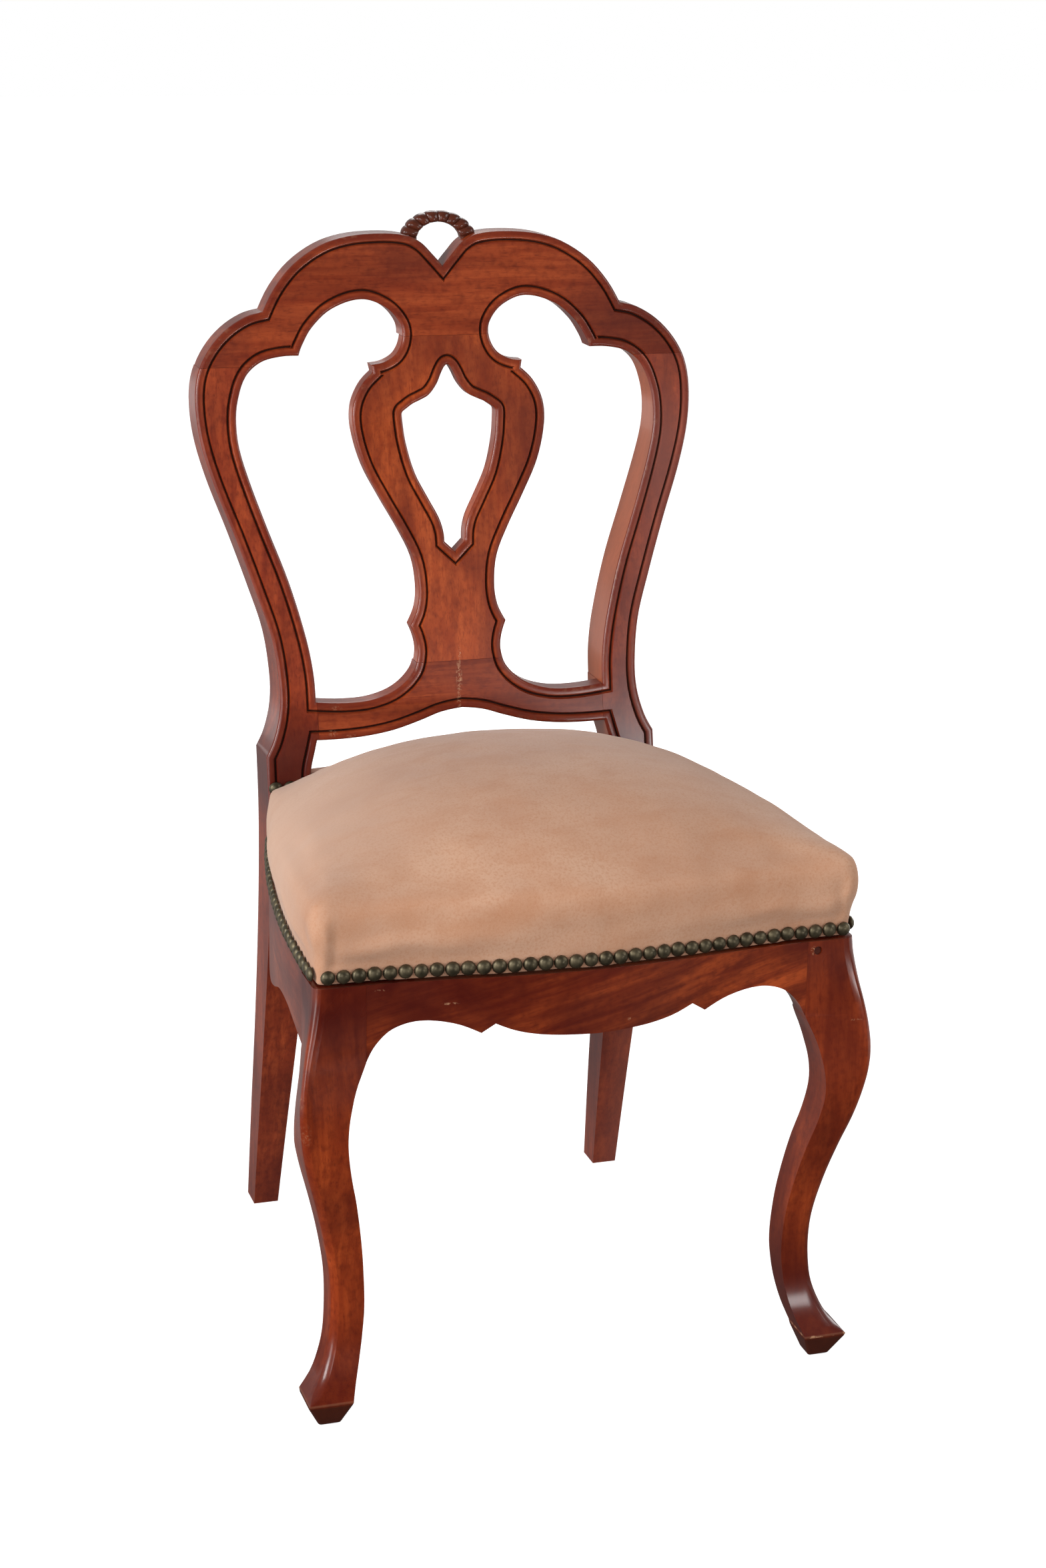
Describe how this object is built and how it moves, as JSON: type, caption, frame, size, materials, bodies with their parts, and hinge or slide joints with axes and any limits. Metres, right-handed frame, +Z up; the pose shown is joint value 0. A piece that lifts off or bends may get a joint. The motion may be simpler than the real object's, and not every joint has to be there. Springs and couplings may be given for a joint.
{
  "type": "upholstered side chair",
  "caption": "Carved wooden side chair with a pierced, moulded splat back, cabriole front legs and a stuffed seat trimmed with domed nails.",
  "frame": {"origin": "on the floor, in the middle of the chair's bounding box", "axes": "+Z up, the chair faces -Y, +X is on the right of someone looking at its front"},
  "size_m": [0.5024, 0.5048, 0.9521],
  "materials": {
    "mahogany": "satin red-brown stain and polish",
    "mahogany_dark": "satin dark stain",
    "beech": "bare",
    "velour": "suede-like short pile, peach tan",
    "bronze": "antique dark bronze",
    "jute": "plain woven",
    "stuffing": "felted",
    "steel": "plain"
  },
  "bodies": {
    "root": {"back_cross_rail": "mahogany", "back_splat": "mahogany", "corner_block_front_left": "beech", "corner_block_front_left_screw_1": "steel", "corner_block_front_left_screw_2": "steel", "corner_block_front_right": "beech", "corner_block_front_right_screw_1": "steel", "corner_block_front_right_screw_2": "steel", "corner_block_rear_left": "beech", "corner_block_rear_left_screw_1": "steel", "corner_block_rear_left_screw_2": "steel", "corner_block_rear_right": "beech", "corner_block_rear_right_screw_1": "steel", "corner_block_rear_right_screw_2": "steel", "crest_loop": "mahogany_dark", "crest_rail": "mahogany", "front_leg_left": "mahogany", "front_leg_right": "mahogany", "front_seat_rail": "mahogany", "hessian": "jute", "joint_peg": "mahogany_dark", "nails_front": "bronze", "nails_left": "bronze", "nails_rear": "bronze", "nails_right": "bronze", "nails_stile_left": "bronze", "nails_stile_right": "bronze", "rear_seat_rail": "mahogany", "rear_stile_left": "mahogany", "rear_stile_right": "mahogany", "seat_cover": "velour", "seat_stuffing": "stuffing", "side_seat_rail_left": "mahogany", "side_seat_rail_right": "mahogany", "webbing_crosswise_1": "jute", "webbing_crosswise_2": "jute", "webbing_crosswise_3": "jute", "webbing_lengthwise_1": "jute", "webbing_lengthwise_2": "jute", "webbing_lengthwise_3": "jute", "webbing_lengthwise_4": "jute"}
  },
  "joints": []
}
